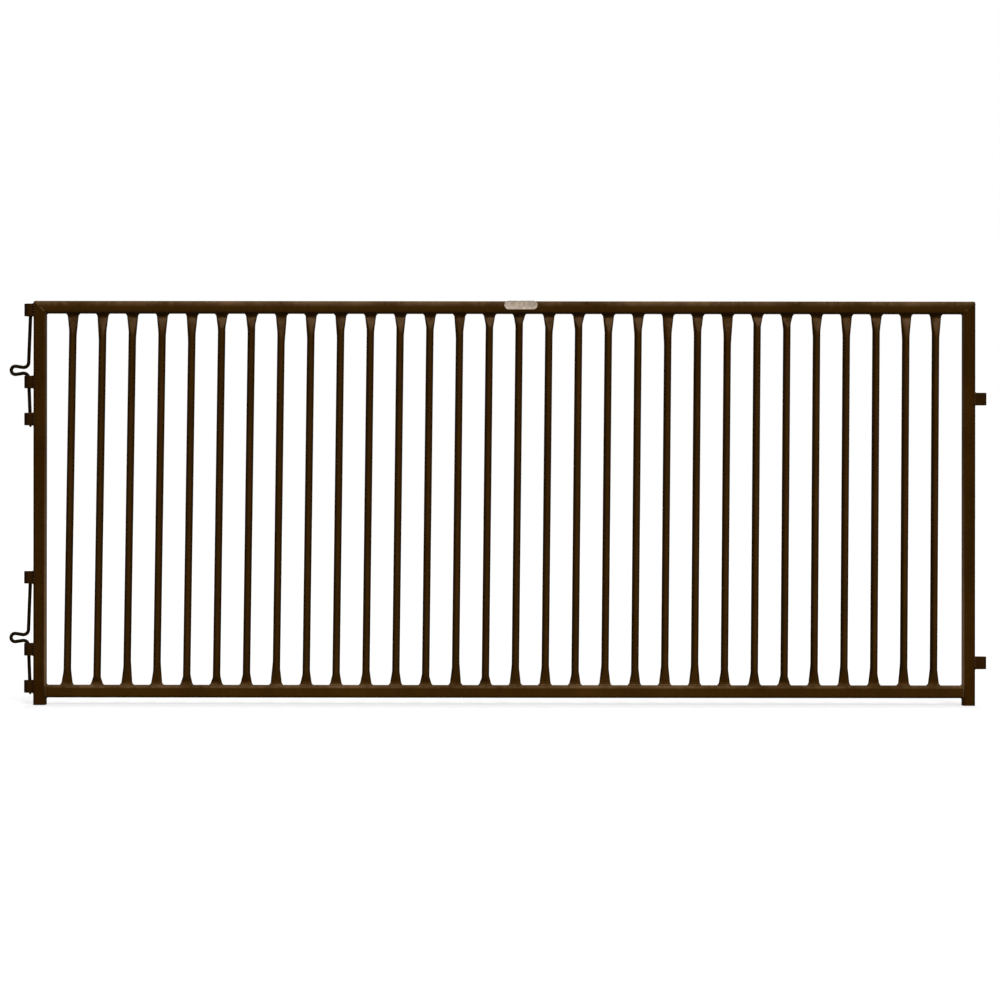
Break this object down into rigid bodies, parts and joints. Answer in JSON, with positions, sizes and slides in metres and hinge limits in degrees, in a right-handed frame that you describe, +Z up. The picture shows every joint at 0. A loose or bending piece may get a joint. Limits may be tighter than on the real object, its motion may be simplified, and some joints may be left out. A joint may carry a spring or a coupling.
{
  "type": "livestock panel",
  "caption": "Painted steel livestock panel: square-tube frame with upright round bars, drop pins with finger loops on one post and strap lugs on the other to join panels into pens.",
  "frame": {"origin": "on the floor, midway between the outermost finger loop and the outermost lug, in the middle of the tube's depth", "axes": "+Z up, +X along the panel from the drop pins towards the lugs, the pictured front faces -Y"},
  "size_m": [2.503, 0.0318, 1.034],
  "materials": {
    "frame_paint": "semi-gloss dark brown enamel",
    "bar_paint": "semi-gloss dark brown enamel",
    "strap_paint": "semi-gloss dark brown enamel",
    "pin_paint": "semi-gloss dark brown enamel"
  },
  "bodies": {
    "frame": {"left_post": "frame_paint", "right_post": "frame_paint", "top_rail": "frame_paint", "bottom_rail": "frame_paint", "bar_01": "bar_paint", "bar_02": "bar_paint", "bar_03": "bar_paint", "bar_04": "bar_paint", "bar_05": "bar_paint", "bar_06": "bar_paint", "bar_07": "bar_paint", "bar_08": "bar_paint", "bar_09": "bar_paint", "bar_10": "bar_paint", "bar_11": "bar_paint", "bar_12": "bar_paint", "bar_13": "bar_paint", "bar_14": "bar_paint", "bar_15": "bar_paint", "bar_16": "bar_paint", "bar_17": "bar_paint", "bar_18": "bar_paint", "bar_19": "bar_paint", "bar_20": "bar_paint", "bar_21": "bar_paint", "bar_22": "bar_paint", "bar_23": "bar_paint", "bar_24": "bar_paint", "bar_25": "bar_paint", "bar_26": "bar_paint", "bar_27": "bar_paint", "bar_28": "bar_paint", "bar_29": "bar_paint", "bar_30": "bar_paint", "upper_guide_keeper": "strap_paint", "upper_rest_keeper": "strap_paint", "upper_tip_keeper": "strap_paint", "lower_guide_keeper": "strap_paint", "lower_rest_keeper": "strap_paint", "lower_tip_keeper": "strap_paint", "upper_lug": "strap_paint", "lower_lug": "strap_paint"},
    "upper_pin": {"upper_drop_pin": "pin_paint"},
    "lower_pin": {"lower_drop_pin": "pin_paint"}
  },
  "joints": [
    {"name": "upper_pin_lift", "type": "slide", "parent": "frame", "child": "upper_pin", "axis": [0, 0, 1], "range_m": [0, 0.1246]},
    {"name": "lower_pin_lift", "type": "slide", "parent": "frame", "child": "lower_pin", "axis": [0, 0, 1], "range_m": [0, 0.1246]}
  ]
}
